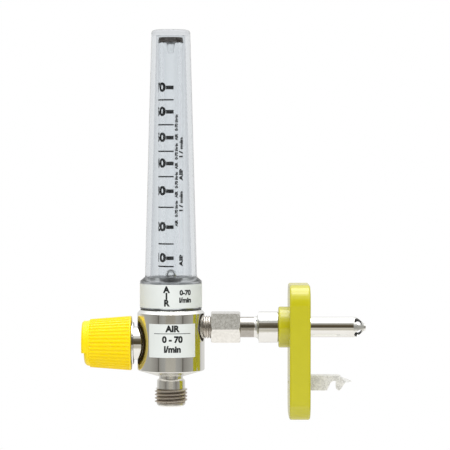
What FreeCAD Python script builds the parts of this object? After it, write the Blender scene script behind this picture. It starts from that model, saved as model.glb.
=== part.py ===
import FreeCAD, Part
import math
import os
import re

import Sketcher
from FreeCAD import Placement, Rotation, Vector

# Medical air flowmeter with a quick-connect wall adapter, in millimetres.
# The origin is on the probe's axis, in the plane of the adapter plate's wall face.
# +X points along the probe into the wall outlet and +Z points up the flow tube.
# The meter body stands to the left of the plate, and its knob points further left.

os.makedirs("parts", exist_ok=True)
doc = FreeCAD.newDocument("air_flowmeter")

SIZES = {
    # Clearances
    "fit_gap": 0.05,
    "rest_gap": 0.1,
    # Adapter plate with its boss, seen edge on from the front
    "plate_depth": 9.0,
    "plate_width": 32.0,
    "plate_above": 18.8,
    "plate_below": 39.5,
    "plate_corner": 8.5,
    "plate_rounding": 1.0,
    "boss_length": 4.5,
    "boss_radius": 8.9,
    "boss_rounding": 0.8,
    # Probe that enters the wall outlet
    "probe_radius": 4.43,
    "probe_straight": 19.0,
    "nose_shoulder": 1.6,
    "nose_shoulder_radius": 4.2,
    "nose_slope": 2.0,
    "nose_slope_radius": 2.6,
    "nose_end": 1.0,
    "nose_end_radius": 1.7,
    "nose_tip": 0.8,
    "nose_tip_radius": 1.4,
    "port_radius": 1.7,
    "port_set_back": 2.6,
    "probe_bore": 1.6,
    "flange_radius": 6.9,
    "flange_depth": 2.5,
    "tail_radius": 3.5,
    "tail_length": 7.0,
    "probe_ring_section": 1.3,
    # Adapter body, clamped through the plate by the probe
    "shoulder_length": 10.6,
    "shoulder_radius": 6.75,
    "shoulder_chamfer": 0.4,
    "spigot_radius": 5.5,
    "flare_start": 2.1,
    "flare_radius": 1.9,
    "gas_bore": 1.8,
    "tail_hole_run_out": 0.7,
    # Latch hook and its screw
    "hook_drop": 20.9,
    "hook_height": 6.4,
    "hook_thickness": 6.4,
    "hook_length": 18.5,
    "tang_depth": 5.0,
    "notch_start": 7.5,
    "notch_lean": 1.6,
    "notch_cheek": 3.0,
    "notch_crook": 2.6,
    "notch_roof": 2.3,
    "notch_peak": 3.85,
    "barb_back": 4.2,
    "barb_cheek": 3.2,
    "barb_heel": 0.7,
    "barb_point": 4.9,
    "barb_width": 0.7,
    "barb_rise": 3.0,
    "barb_lean": 2.4,
    "barb_nose_rise": 0.45,
    "hook_nose_back": 0.75,
    "hook_nose_drop": 2.25,
    "hook_crown": 4.05,
    "hook_crown_drop": 1.2,
    "hook_brow": 5.6,
    "nose_edge": 1.6,
    "nose_bevel_drop": 2.4,
    "nose_bevel_lean": 64.0,
    "nose_bevel_reach": 6.0,
    "screw_slot": 0.8,
    "screw_slot_depth": 0.8,
    "screw_radius": 1.5,
    "screw_head_radius": 3.0,
    "screw_head_depth": 1.6,
    "screw_grip": 4.0,
    # Hexagonal coupling
    "neck_length": 5.93,
    "neck_radius": 4.45,
    "hex_length": 12.7,
    "hex_flats": 12.7,
    "hex_chamfer": 0.5,
    "hex_turn": -26.0,
    "coupling_tail_radius": 3.9,
    "coupling_tail_length": 7.4,
    # Threaded nipple between coupling and meter body
    "nipple_gap": 2.8,
    "nipple_radius": 5.0,
    "nipple_bore": 2.9,
    "nipple_chamfer": 0.6,
    "nipple_grip": 8.0,
    # Meter body
    "body_radius": 14.6,
    "body_above": 7.6,
    "body_below": 18.3,
    "body_top_bevel": 1.3,
    "body_foot_bevel": 0.35,
    "underside_drop": 2.7,
    "underside_radius": 6.6,
    "collar_seat": 9.9,
    "seat_height": 9.9,
    "seat_chamfer": 0.6,
    "socket_rise": 1.4,
    "passage_radius": 1.5,
    "filter_radius": 2.95,
    "filter_length": 3.9,
    "return_reach": 8.1,
    "return_radius": 1.0,
    "return_overlap": 2.0,
    # Needle valve, measured leftwards from the body's axis
    "valve_drop": 7.0,
    "valve_port": 1.7,
    "valve_seat_start": 2.4,
    "valve_seat_length": 2.8,
    "valve_seat_radius": 2.95,
    "valve_orifice": 1.45,
    "chamber_radius": 4.0,
    "chamber_length": 4.2,
    "bonnet_seal_thickness": 0.6,
    "bonnet_radius": 7.2,
    "bonnet_chamfer": 0.3,
    "bonnet_stand_off": 1.6,
    "ring_radius": 9.1,
    "ring_depth": 0.65,
    "gland_radius": 5.6,
    "gland_length": 6.2,
    "gland_bore": 4.0,
    "gland_floor": 1.4,
    "needle_tip": 0.35,
    "needle_reach": 2.6,
    "needle_length": 3.8,
    "needle_shank": 1.9,
    "stop_start": 7.8,
    "stop_depth": 0.9,
    "stop_radius": 3.5,
    "stem_radius": 3.0,
    "groove_floor": 2.2,
    "groove_width": 1.8,
    "groove_from_ring": 1.75,
    "stem_round_end": 24.0,
    "stem_square": 4.0,
    "stem_end": 32.9,
    "stem_hole_radius": 1.3,
    "stem_hole_depth": 6.0,
    # Knob, its screw and its end cap
    "knob_gap": 0.25,
    "knob_radius": 11.8,
    "knob_small_radius": 10.45,
    "knob_rim": 0.3,
    "knob_plain_rim": 0.8,
    "knob_ribbed": 17.9,
    "rib_step": 0.55,
    "rib_step_run": 0.25,
    "dome_length": 2.25,
    "dome_rounding": 2.1,
    "rib_count": 42,
    "rib_groove_radius": 0.62,
    "rib_groove_lift": 0.12,
    "cavity_radius": 9.6,
    "cavity_small_radius": 8.3,
    "cavity_depth": 14.4,
    "hub_radius": 5.2,
    "hub_start": 0.3,
    "recess_radius": 3.4,
    "recess_floor": 0.3,
    "knob_screw_head": 2.9,
    "knob_screw_head_depth": 1.7,
    "knob_screw_slot": 0.8,
    "cap_seat_depth": 1.3,
    "cap_rise": 1.0,
    "cap_radius": 9.7,
    "cap_flat": 3.7,
    "cap_rounding": 0.7,
    # Clear outer tube
    "gasket_thickness": 0.45,
    "collar_radius": 13.35,
    "collar_height": 12.05,
    "collar_chamfer": 0.15,
    "shoulder_rise": 1.8,
    "shroud_foot_radius": 11.25,
    "roof_gap": 0.8,
    "shroud_top_radius": 8.4,
    "shroud_rounding": 1.4,
    "shroud_wall": 2.1,
    "shroud_roof": 2.5,
    "ceiling_rise": 1.4,
    # Flow tube, ball and stop
    "flow_radius": 5.45,
    "flow_chamfer": 0.4,
    "flow_length": 102.3,
    "flow_bore_foot": 2.5,
    "flow_bore_top": 3.6,
    "flow_ring_section": 1.2,
    "flow_ring_rise": 4.0,
    "ball_radius": 2.38,
    "ball_seat_rise": 3.5,
    "ball_seat_radius": 2.95,
    "ball_seat_hole": 1.6,
    "stop_reach": 4.6,
    "stop_tip_radius": 1.2,
    "stop_stem_radius": 1.9,
    "stop_head_radius": 4.2,
    "stop_head_height": 1.4,
    "vent_radius": 0.65,
    "vent_reach": 2.75,
    "vent_count": 4,
    "top_ring_height": 2.1,
    "top_ring_small_radius": 5.15,
    # Outlet connector under the body
    "outlet_bore": 2.0,
    "outlet_stud_radius": 4.6,
    "outlet_seal_floor": 14.0,
    "outlet_seal_thickness": 0.8,
    "outlet_radius": 6.2,
    "outlet_bevel": 0.5,
    "outlet_shank": 6.0,
    "outlet_thread_radius": 7.05,
    "outlet_thread_length": 5.8,
    "outlet_thread_chamfer": 0.4,
    "outlet_length": 13.2,
    "outlet_end_chamfer": 0.8,
    "outlet_mouth": 3.9,
    "outlet_mouth_depth": 6.6,
    "outlet_mouth_chamfer": 0.4,
    # Labels
    "label_thickness": 0.15,
    "body_label_drop": 5.3,
    "body_label_height": 14.35,
    "body_label_angle": 84.0,
    "body_label_turn": 4.0,
    "collar_label_foot_edge": 0.85,
    "collar_label_top_edge": 1.0,
    "collar_label_angle": 352.0,
}

# Measures that follow from the sizes above, each written as a formula
WORKED_OUT = {
    # Distances to the left of the wall face, along the gas path
    "boss_face": "plate_depth + boss_length",
    "joint_face": "boss_face + shoulder_length",
    "hex_near": "joint_face + neck_length",
    "hex_far": "hex_near + hex_length",
    "body_axis": "hex_far + nipple_gap + body_radius",
    # Distances to the left of the body's axis, along the valve
    "seat_face": "valve_seat_start + valve_seat_length",
    "bonnet_floor": "seat_face + chamber_length",
    "bonnet_end": "bonnet_floor + bonnet_seal_thickness",
    "ring_face": "body_radius + bonnet_stand_off",
    "ring_top": "ring_face + ring_depth",
    "gland_start": "ring_top - gland_floor",
    "needle_root": "needle_reach + needle_length",
    "groove_start": "ring_top + groove_from_ring",
    "ring_section": "(gland_bore - groove_floor) / 2 - fit_gap",
    "knob_start": "ring_top + knob_gap",
    "rib_end": "knob_start + knob_ribbed",
    "dome_start": "rib_end + rib_step_run",
    "knob_end": "dome_start + dome_length",
    "cap_seat": "knob_end - cap_seat_depth",
    "recess_face": "stem_end + recess_floor",
    "crest_slope": "(knob_radius - knob_small_radius) / (knob_ribbed - knob_rim)",
    "groove_line": "knob_plain_rim - knob_rim",
    # Heights on the body's axis
    "body_foot": "body_below + underside_drop",
    "thread_start": "body_foot + outlet_shank",
    "thread_end": "thread_start + outlet_thread_length",
    "outlet_end": "body_foot + outlet_length",
    "body_label_top": "body_above - body_label_drop",
    "collar_foot": "body_above + gasket_thickness",
    "collar_top": "collar_foot + collar_height",
    "collar_label_foot": "collar_foot + collar_label_foot_edge",
    "collar_label_top": "collar_top - collar_label_top_edge",
    "collar_seat_top": "body_above + seat_height",
    "shroud_foot": "collar_top + shoulder_rise",
    "shroud_ceiling": "collar_seat_top + ceiling_rise",
    "shroud_top": "flow_top + top_ring_height + roof_gap + shroud_roof",
    "socket_floor": "body_above + socket_rise",
    "flow_foot": "socket_floor + fit_gap",
    "flow_ring_height": "socket_floor + flow_ring_rise",
    "gland_wall": "flow_radius + flow_ring_section + 2 * fit_gap",
    "gland_top": "flow_ring_height + flow_ring_section / 2 + fit_gap",
    "gland_foot": "flow_ring_height - flow_ring_section / 2 - fit_gap",
    "ball_seat_top": "collar_seat_top + ball_seat_rise",
    "ball_height": "ball_seat_top + sqrt(ball_radius ^ 2 - ball_seat_hole ^ 2) + rest_gap",
    "flow_top": "ball_seat_top + flow_length",
    "stop_tip": "flow_top - stop_reach",
    # Nipple and coupling
    "nipple_start": "body_axis - body_radius + nipple_grip - fit_gap",
    "nipple_length": "2 * (nipple_grip - fit_gap) + nipple_gap",
    "filter_end": "nipple_grip + filter_length + 2 * fit_gap",
    "hex_corner": "hex_flats / sqrt(3)",
    "tail_end": "hex_length + neck_length + coupling_tail_length",
    # Adapter body and probe, each from its own left end
    "spigot_end": "shoulder_length + boss_length + plate_depth - flange_depth",
    "probe_hole_floor": "spigot_end - tail_length - tail_hole_run_out",
    "ring_gland": "probe_ring_section + 2 * rest_gap",
    "shoulder_end": "probe_straight + nose_shoulder",
    "slope_end": "shoulder_end + nose_slope",
    "nose_face": "slope_end + nose_end",
    "probe_tip": "nose_face + nose_tip",
    "port_centre": "nose_face - port_set_back",
    # Latch hook
    "hook_foot": "-(hook_drop + hook_height)",
    "hook_middle": "-(hook_drop + hook_height / 2)",
    "barb_end": "notch_start + barb_point + barb_width",
}

sheet = doc.addObject("Spreadsheet::Sheet", "Sizes")
for row, (name, value) in enumerate(SIZES.items(), start=1):
    sheet.set(f"A{row}", name)
    sheet.set(f"B{row}", str(value))
    sheet.setAlias(f"B{row}", name)
doc.recompute()

# Ways that a piece's own axis can point
UPRIGHT = Rotation()
LEFTWARDS = Rotation(Vector(0, 1, 0), -90)
RIGHTWARDS = Rotation(Vector(0, 1, 0), 90)
EIGHTH_TURN = Rotation(Vector(0, 0, 1), 45)

WORD = re.compile(r"[a-z][a-z_]+")


def spelled_out(formula):
    """Writes a formula in the sheet's cells alone."""
    def in_cells(match):
        name = match.group()
        if name in SIZES:
            return "Sizes." + name
        if name in WORKED_OUT:
            return f"({spelled_out(WORKED_OUT[name])})"
        return name
    return WORD.sub(in_cells, formula)


def bind(thing, place, formula):
    """Ties one property to a formula written in the names above."""
    thing.setExpression(place, spelled_out(formula))


def put(piece, x="0", z="0", turn=UPRIGHT):
    """Places a piece's own origin on the frame and points its axis."""
    piece.Placement = Placement(Vector(0, 0, 0), turn)
    bind(piece, ".Placement.Base.x", x)
    bind(piece, ".Placement.Base.z", z)
    return piece


def new_body(label):
    body = doc.addObject("PartDesign::Body", label)
    body.Label = label
    return body


def origin_part(body, role):
    return next(item for item in body.Origin.OriginFeatures if item.Role == role)


def new_sketch(body, name, plane, offset="0"):
    """A sketch on one of the body's own origin planes, moved along its normal."""
    sketch = body.newObject("Sketcher::SketchObject", name)
    sketch.AttachmentSupport = [(origin_part(body, plane), "")]
    sketch.MapMode = "FlatFace"
    bind(sketch, ".AttachmentOffset.Base.z", offset)
    return sketch


def draw_outline(sketch, points):
    """A closed outline whose every corner is held by two formulas."""
    count = len(points)
    turns = [i * math.tau / count for i in range(count)]
    rough = [Vector(math.cos(turn), math.sin(turn), 0) for turn in turns]
    for i in range(count):
        sketch.addGeometry(Part.LineSegment(rough[i], rough[(i + 1) % count]), False)
    for i in range(count):
        sketch.addConstraint(Sketcher.Constraint("Coincident", i, 2, (i + 1) % count, 1))
    for i, (across, up) in enumerate(points):
        for kind, formula in (("DistanceX", across), ("DistanceY", up)):
            index = sketch.addConstraint(Sketcher.Constraint(kind, -1, 1, i, 1, 1.0))
            bind(sketch, f"Constraints[{index}]", formula)


def draw_circle(sketch, radius, across="0", up="0"):
    ring = sketch.addGeometry(Part.Circle(Vector(1, 1, 0), Vector(0, 0, 1), 1), False)
    for kind, formula in (("DistanceX", across), ("DistanceY", up)):
        index = sketch.addConstraint(Sketcher.Constraint(kind, -1, 1, ring, 3, 1.0))
        bind(sketch, f"Constraints[{index}]", formula)
    index = sketch.addConstraint(Sketcher.Constraint("Radius", ring, 1.0))
    bind(sketch, f"Constraints[{index}]", radius)


def box_outline(left, right, bottom, top):
    return [(left, bottom), (right, bottom), (right, top), (left, top)]


def spun(body, kind, name, outline, angle=None):
    """Spins a section about the piece's own axis, to add or to cut."""
    sketch = new_sketch(body, name + "Sketch", "XZ_Plane")
    draw_outline(sketch, outline)
    spin = body.newObject("PartDesign::" + kind, name)
    spin.Profile = sketch
    spin.ReferenceAxis = (sketch, ["V_Axis"])
    spin.Angle = 360.0
    if angle:
        spin.Midplane = True
        bind(spin, "Angle", angle)
    body.Tip = spin
    return spin


def turned(label, outline, angle=None):
    """A lathe-turned piece, made from half of its section."""
    body = new_body(label)
    spun(body, "Revolution", "Turned", outline, angle)
    return body


def cut_in(body, name, plane, start, depth, draw, forwards=False):
    """A pocket from a sketch plane; forwards cuts along the plane's normal."""
    doc.recompute()
    before = body.Shape.Volume
    sketch = new_sketch(body, name + "Sketch", plane, start)
    draw(sketch)
    pocket = body.newObject("PartDesign::Pocket", name)
    pocket.Profile = sketch
    pocket.Type = 0
    pocket.Reversed = forwards
    bind(pocket, "Length", depth)
    body.Tip = pocket
    doc.recompute()
    if body.Shape.Volume >= before:
        raise RuntimeError(f"{body.Label}: {name} cuts nothing")
    return pocket


def drill(body, name, plane, start, depth, radius, across="0", up="0", forwards=False):
    return cut_in(body, name, plane, start, depth,
                  lambda sketch: draw_circle(sketch, radius, across, up), forwards)


def ring_of(body, name, feature, count, angle=360.0):
    """Copies of a feature in a ring about the piece's own axis."""
    pattern = body.newObject("PartDesign::PolarPattern", name)
    pattern.Originals = [feature]
    pattern.Axis = (origin_part(body, "Z_Axis"), [""])
    pattern.Angle = angle
    bind(pattern, "Occurrences", count)
    body.Tip = pattern
    return pattern


# An edge shorter than this along one axis lies flat across it
FLAT = 1e-4


def round_edges(body, name, radius, choose):
    """Rounds the edges that the function picks from the piece's last feature."""
    doc.recompute()
    base = body.Tip
    picks = choose(base.Shape)
    names = [f"Edge{n}" for n, edge in enumerate(base.Shape.Edges, start=1)
             if any(edge.isSame(pick) for pick in picks)]
    fillet = body.newObject("PartDesign::Fillet", name)
    fillet.Base = (base, names)
    bind(fillet, "Radius", radius)
    body.Tip = fillet
    return fillet


def far_rim(shape):
    """The widest round edge at the far end of a piece, along its own axis."""
    rims = [edge for edge in shape.Edges if isinstance(edge.Curve, Part.Circle)]
    return [max(rims, key=lambda edge: (round(edge.Curve.Center.z, 4), edge.Curve.Radius))]


def torus(label, centre_radius, section_radius):
    """A moulded rubber ring about its own axis."""
    ring = doc.addObject("Part::Torus", label)
    ring.Label = label
    bind(ring, "Radius1", centre_radius)
    bind(ring, "Radius2", section_radius)
    return ring


# Meter body: turned bar with a spigot for the clear tube and drilled gas passages
valve_body = turned("valve_body", [
    ("0", "-outlet_seal_floor"),
    ("outlet_stud_radius + fit_gap", "-outlet_seal_floor"),
    ("outlet_stud_radius + fit_gap", "-body_foot"),
    ("underside_radius", "-body_foot"),
    ("body_radius - body_foot_bevel", "-(body_below + body_foot_bevel)"),
    ("body_radius", "-body_below"),
    ("body_radius", "body_above - body_top_bevel"),
    ("body_radius - body_top_bevel", "body_above"),
    ("collar_seat", "body_above"),
    ("collar_seat", "collar_seat_top - seat_chamfer"),
    ("collar_seat - seat_chamfer", "collar_seat_top"),
    ("flow_radius + fit_gap", "collar_seat_top"),
    ("flow_radius + fit_gap", "gland_top"),
    ("gland_wall", "gland_top"),
    ("gland_wall", "gland_foot"),
    ("flow_radius + fit_gap", "gland_foot"),
    ("flow_radius + fit_gap", "socket_floor"),
    ("0", "socket_floor"),
])
put(valve_body, x="-body_axis")
drill(valve_body, "InletThread", "YZ_Plane", "body_radius", "nipple_grip",
      "nipple_radius + fit_gap")
drill(valve_body, "FilterPocket", "YZ_Plane", "body_radius - nipple_grip",
      "filter_length + 2 * fit_gap", "filter_radius + fit_gap")
drill(valve_body, "InletPassage", "YZ_Plane", "body_radius - filter_end",
      "body_radius - filter_end", "passage_radius")
drill(valve_body, "RisingPassage", "XY_Plane", "socket_floor", "socket_floor", "passage_radius")
drill(valve_body, "BonnetBore", "YZ_Plane", "-body_radius", "body_radius - bonnet_floor",
      "bonnet_radius + fit_gap", up="-valve_drop", forwards=True)
drill(valve_body, "Chamber", "YZ_Plane", "-bonnet_floor", "chamber_length",
      "chamber_radius", up="-valve_drop", forwards=True)
drill(valve_body, "SeatBore", "YZ_Plane", "-seat_face", "valve_seat_length",
      "valve_seat_radius + fit_gap", up="-valve_drop", forwards=True)
drill(valve_body, "ValvePort", "YZ_Plane", "-valve_seat_start", "valve_seat_start",
      "valve_port", up="-valve_drop", forwards=True)
drill(valve_body, "ReturnPassage", "XY_Plane", "collar_seat_top",
      "collar_seat_top + valve_drop - return_overlap", "return_radius", across="-return_reach")
drill(valve_body, "OutletPassage", "XY_Plane", "-outlet_seal_floor",
      "outlet_seal_floor - valve_drop", "outlet_bore", forwards=True)

# Generic printed sticker wrapped round the front of the body
body_label = turned("body_label", box_outline(
    "body_radius", "body_radius + label_thickness",
    "body_label_top - body_label_height", "body_label_top"), angle="body_label_angle")
put(body_label, x="-body_axis")
bind(body_label, ".Placement.Rotation.Angle", "body_label_turn - 90")

# Needle valve: a brass seat pressed into the body behind the chamber
valve_seat = turned("valve_seat", box_outline(
    "valve_orifice", "valve_seat_radius", "valve_seat_start", "seat_face"))
bonnet_seal = turned("bonnet_seal", box_outline(
    "chamber_radius + rest_gap", "bonnet_radius", "bonnet_floor", "bonnet_end"))

# Bonnet: chromed gland with a ring behind the knob, screwed in against its seal
bonnet = turned("bonnet", [
    ("stem_radius + fit_gap", "bonnet_end"),
    ("bonnet_radius - bonnet_chamfer", "bonnet_end"),
    ("bonnet_radius", "bonnet_end + bonnet_chamfer"),
    ("bonnet_radius", "ring_face"),
    ("ring_radius", "ring_face"),
    ("ring_radius", "ring_top"),
    ("gland_radius", "ring_top"),
    ("gland_radius", "ring_top + gland_length"),
    ("gland_bore", "ring_top + gland_length"),
    ("gland_bore", "gland_start"),
    ("stem_radius + fit_gap", "gland_start"),
])

# Valve stem: needle, stop flange, screw and ring groove, with a square for the knob
valve_stem = turned("valve_stem", [
    ("0", "needle_reach"),
    ("needle_tip", "needle_reach"),
    ("needle_shank", "needle_root"),
    ("needle_shank", "stop_start"),
    ("stop_radius", "stop_start"),
    ("stop_radius", "stop_start + stop_depth"),
    ("stem_radius", "stop_start + stop_depth"),
    ("stem_radius", "groove_start"),
    ("groove_floor", "groove_start"),
    ("groove_floor", "groove_start + groove_width"),
    ("stem_radius", "groove_start + groove_width"),
    ("stem_radius", "stem_round_end"),
    ("0", "stem_round_end"),
])
square_sketch = new_sketch(valve_stem, "SquareSketch", "XY_Plane", "stem_round_end")
draw_outline(square_sketch, box_outline("-stem_square / 2", "stem_square / 2",
                                        "-stem_square / 2", "stem_square / 2"))
square = valve_stem.newObject("PartDesign::Pad", "Square")
square.Profile = square_sketch
bind(square, "Length", "stem_end - stem_round_end")
valve_stem.Tip = square
drill(valve_stem, "ScrewHole", "XY_Plane", "stem_end", "stem_hole_depth", "stem_hole_radius")

stem_o_ring = torus("stem_o_ring", "(gland_bore + groove_floor) / 2", "ring_section")

# Knob: ribbed yellow moulding with a hub that fits the stem's square
knob = turned("knob", [
    ("0", "stem_round_end + hub_start"),
    ("hub_radius", "stem_round_end + hub_start"),
    ("hub_radius", "knob_start + cavity_depth"),
    ("cavity_small_radius", "knob_start + cavity_depth"),
    ("cavity_radius", "knob_start"),
    ("knob_radius - knob_rim", "knob_start"),
    ("knob_radius", "knob_start + knob_rim"),
    ("knob_small_radius", "rib_end"),
    ("knob_small_radius - rib_step", "dome_start"),
    ("knob_small_radius - rib_step", "knob_end"),
    ("recess_radius", "knob_end"),
    ("recess_radius", "recess_face"),
    ("0", "recess_face"),
])
round_edges(knob, "Dome", "dome_rounding", far_rim)
near_groove = new_sketch(knob, "GrooveNear", "XY_Plane", "knob_start + knob_plain_rim")
draw_circle(near_groove, "rib_groove_radius",
            across="knob_radius - crest_slope * groove_line + rib_groove_lift")
far_groove = new_sketch(knob, "GrooveFar", "XY_Plane", "dome_start")
draw_circle(far_groove, "rib_groove_radius", across="knob_small_radius + rib_groove_lift")
groove = knob.newObject("PartDesign::SubtractiveLoft", "RibGroove")
groove.Profile = near_groove
groove.Sections = [far_groove]
groove.Ruled = True
knob.Tip = groove
doc.recompute()
ring_of(knob, "Ribs", groove, "rib_count")
cut_in(knob, "SquareHole", "XY_Plane", "stem_round_end + hub_start",
       "recess_face - stem_round_end - hub_start",
       lambda sketch: draw_outline(sketch, box_outline(
           "-stem_square / 2 - fit_gap", "stem_square / 2 + fit_gap",
           "-stem_square / 2 - fit_gap", "stem_square / 2 + fit_gap")), forwards=True)
cut_in(knob, "CapSeat", "XY_Plane", "knob_end", "cap_seat_depth",
       lambda sketch: draw_outline(sketch, box_outline(
           "-cap_flat", "knob_radius", "-knob_radius", "knob_radius")))

# Slotted screw that holds the knob on the stem
knob_screw = turned("knob_screw", [
    ("0", "stem_end - stem_hole_depth + rest_gap"),
    ("stem_hole_radius - fit_gap", "stem_end - stem_hole_depth + rest_gap"),
    ("stem_hole_radius - fit_gap", "recess_face"),
    ("knob_screw_head", "recess_face"),
    ("knob_screw_head", "recess_face + knob_screw_head_depth"),
    ("0", "recess_face + knob_screw_head_depth"),
])
cut_in(knob_screw, "Slot", "XY_Plane", "recess_face + knob_screw_head_depth",
       "knob_screw_head_depth / 2",
       lambda sketch: draw_outline(sketch, box_outline(
           "-knob_screw_slot / 2", "knob_screw_slot / 2", "-knob_screw_head", "knob_screw_head")))

# End cap: a raised disc with one flat side, plugged over the screw
knob_cap = turned("knob_cap", [
    ("0", "recess_face + knob_screw_head_depth + rest_gap"),
    ("recess_radius - fit_gap", "recess_face + knob_screw_head_depth + rest_gap"),
    ("recess_radius - fit_gap", "cap_seat"),
    ("cap_radius", "cap_seat"),
    ("cap_radius", "knob_end + cap_rise - cap_rounding"),
    ("cap_radius - cap_rounding", "knob_end + cap_rise"),
    ("0", "knob_end + cap_rise"),
])
cut_in(knob_cap, "Flat", "XY_Plane", "knob_end + cap_rise", "cap_seat_depth + cap_rise",
       lambda sketch: draw_outline(sketch, box_outline(
           "-2 * cap_radius", "-cap_flat + fit_gap", "-cap_radius", "cap_radius")))
for piece in (valve_seat, bonnet_seal, bonnet, valve_stem, knob, knob_screw, knob_cap):
    put(piece, x="-body_axis", z="-valve_drop", turn=LEFTWARDS)
put(stem_o_ring, x="-(body_axis + groove_start + groove_width / 2)",
    z="-valve_drop", turn=LEFTWARDS)

# Rubber gasket under the clear tube's collar
collar_gasket = turned("collar_gasket", box_outline(
    "collar_seat + fit_gap", "collar_radius - collar_chamfer", "body_above", "collar_foot"))

# Clear outer tube: one moulding with a collar, a tapered wall and a closed top
outer_tube = turned("outer_tube", [
    ("collar_seat + fit_gap", "collar_foot"),
    ("collar_radius - collar_chamfer", "collar_foot"),
    ("collar_radius", "collar_foot + collar_chamfer"),
    ("collar_radius", "collar_top"),
    ("shroud_foot_radius", "shroud_foot"),
    ("shroud_top_radius", "shroud_top"),
    ("0", "shroud_top"),
    ("0", "shroud_top - shroud_roof"),
    ("shroud_top_radius - shroud_wall", "shroud_top - shroud_roof"),
    ("shroud_foot_radius - shroud_wall", "shroud_ceiling"),
    ("collar_seat + fit_gap", "shroud_ceiling"),
])
round_edges(outer_tube, "TopRounding", "shroud_rounding", far_rim)

# Printed band round the collar, with a narrow gap at the back
collar_label = turned("collar_label", box_outline(
    "collar_radius", "collar_radius + label_thickness",
    "collar_label_foot", "collar_label_top"), angle="collar_label_angle")
collar_label.Placement = Placement(Vector(0, 0, 0), Rotation(Vector(0, 0, 1), -90))

# Flow tube: clear, with a bore that widens upwards, on a seat plug with a hole
flow_tube = turned("flow_tube", [
    ("ball_seat_radius + fit_gap", "flow_foot"),
    ("flow_radius - flow_chamfer", "flow_foot"),
    ("flow_radius", "flow_foot + flow_chamfer"),
    ("flow_radius", "flow_top"),
    ("flow_bore_top", "flow_top"),
    ("flow_bore_foot", "ball_seat_top + fit_gap"),
    ("ball_seat_radius + fit_gap", "ball_seat_top + fit_gap"),
])
ball_seat = turned("ball_seat", box_outline(
    "ball_seat_hole", "ball_seat_radius", "flow_foot", "ball_seat_top"))
flow_tube_o_ring = torus("flow_tube_o_ring", "flow_radius + fit_gap + flow_ring_section / 2",
                         "flow_ring_section / 2")

# Float: a polished steel ball that rests just above the seat plug
float_ball = doc.addObject("Part::Sphere", "float_ball")
float_ball.Label = "float_ball"
bind(float_ball, "Radius", "ball_radius")

# Float stop on the tube's rim: a vented head with a stem that the ball meets
float_stop = turned("float_stop", [
    ("0", "stop_tip"),
    ("stop_tip_radius", "stop_tip"),
    ("stop_stem_radius", "flow_top"),
    ("stop_head_radius", "flow_top"),
    ("stop_head_radius", "flow_top + stop_head_height"),
    ("0", "flow_top + stop_head_height"),
])
vent = drill(float_stop, "Vent", "XY_Plane", "flow_top + stop_head_height",
             "stop_head_height", "vent_radius", across="vent_reach")
ring_of(float_stop, "Vents", vent, "vent_count")

# Dark ring round the stop's head, on the same rim
top_ring = turned("top_ring", [
    ("stop_head_radius + fit_gap", "flow_top"),
    ("flow_radius", "flow_top"),
    ("top_ring_small_radius", "flow_top + top_ring_height"),
    ("stop_head_radius + fit_gap", "flow_top + top_ring_height"),
])

# Threaded outlet with its seal, screwed up into the body's underside
outlet_seal = turned("outlet_seal", box_outline(
    "outlet_bore", "outlet_stud_radius",
    "-(outlet_seal_floor + outlet_seal_thickness)", "-outlet_seal_floor"))
outlet_connector = turned("outlet_connector", [
    ("outlet_bore", "-(outlet_seal_floor + outlet_seal_thickness)"),
    ("outlet_stud_radius", "-(outlet_seal_floor + outlet_seal_thickness)"),
    ("outlet_stud_radius", "-body_foot"),
    ("outlet_radius - outlet_bevel", "-body_foot"),
    ("outlet_radius", "-(body_foot + outlet_bevel)"),
    ("outlet_radius", "-thread_start"),
    ("outlet_thread_radius", "-(thread_start + outlet_thread_chamfer)"),
    ("outlet_thread_radius", "-(thread_end - outlet_thread_chamfer)"),
    ("outlet_radius", "-thread_end"),
    ("outlet_radius", "-(outlet_end - outlet_end_chamfer)"),
    ("outlet_radius - outlet_end_chamfer", "-outlet_end"),
    ("outlet_mouth + outlet_mouth_chamfer", "-outlet_end"),
    ("outlet_mouth", "-(outlet_end - outlet_mouth_chamfer)"),
    ("outlet_mouth", "-(outlet_end - outlet_mouth_depth)"),
    ("outlet_bore", "-(outlet_end - outlet_mouth_depth)"),
])
for piece in (collar_gasket, outer_tube, collar_label, flow_tube, ball_seat,
              float_stop, top_ring, outlet_seal, outlet_connector):
    bind(piece, ".Placement.Base.x", "-body_axis")
put(flow_tube_o_ring, x="-body_axis", z="flow_ring_height")
put(float_ball, x="-body_axis", z="ball_height")

# Threaded nipple and the sintered filter behind it
inlet_nipple = turned("inlet_nipple", [
    ("nipple_bore", "0"),
    ("nipple_radius - nipple_chamfer", "0"),
    ("nipple_radius", "nipple_chamfer"),
    ("nipple_radius", "nipple_length - nipple_chamfer"),
    ("nipple_radius - nipple_chamfer", "nipple_length"),
    ("nipple_bore", "nipple_length"),
])
put(inlet_nipple, x="-nipple_start", turn=RIGHTWARDS)
inlet_filter = doc.addObject("Part::Cylinder", "inlet_filter")
inlet_filter.Label = "inlet_filter"
bind(inlet_filter, "Radius", "filter_radius")
bind(inlet_filter, "Height", "filter_length")
put(inlet_filter, x="-(nipple_start + filter_length + fit_gap)", turn=RIGHTWARDS)

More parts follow.
